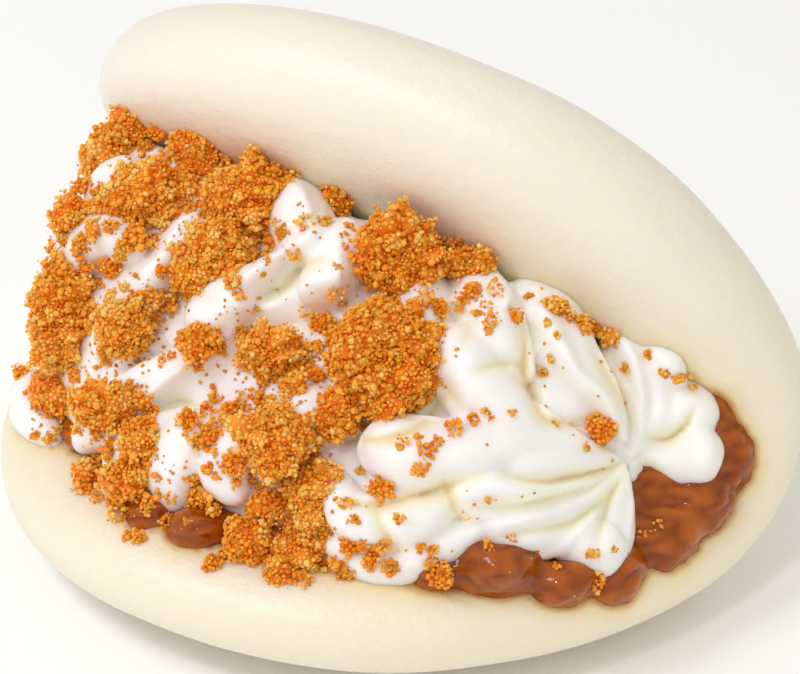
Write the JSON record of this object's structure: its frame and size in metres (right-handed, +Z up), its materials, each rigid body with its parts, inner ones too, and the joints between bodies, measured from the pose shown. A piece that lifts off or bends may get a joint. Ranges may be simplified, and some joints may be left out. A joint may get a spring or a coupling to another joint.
{
  "type": "filled folded steamed bun",
  "caption": "Folded steamed bun lying open, filled with fruit in caramel and whipped cream with biscuit crumble on top.",
  "frame": {"origin": "under the middle of the object's box, on the surface it rests on", "axes": "+X along the fold, +Y from the mouth to the fold at the back, +Z up"},
  "size_m": [0.1042, 0.0748, 0.0684],
  "materials": {
    "dough": "steamed white dough, smooth satin skin, cream in the light and warmer in the folds",
    "caramel": "wet glossy amber caramel over soft fruit",
    "cream": "whipped cream, soft satin white, warm in the creases",
    "crumble": "dry golden brown sugary biscuit crumbs"
  },
  "bodies": {
    "root": {"bun": "dough", "caramel_filling": "caramel", "whipped_cream": "cream", "crumb_cluster_01": "crumble", "crumb_cluster_02": "crumble", "crumb_cluster_03": "crumble", "crumb_cluster_04": "crumble", "crumb_cluster_05": "crumble", "crumb_cluster_06": "crumble", "crumb_cluster_07": "crumble", "crumb_cluster_08": "crumble", "crumb_cluster_09": "crumble", "crumb_cluster_10": "crumble", "crumb_cluster_11": "crumble", "crumb_cluster_12": "crumble", "crumb_cluster_13": "crumble", "crumb_cluster_14": "crumble"}
  },
  "joints": []
}
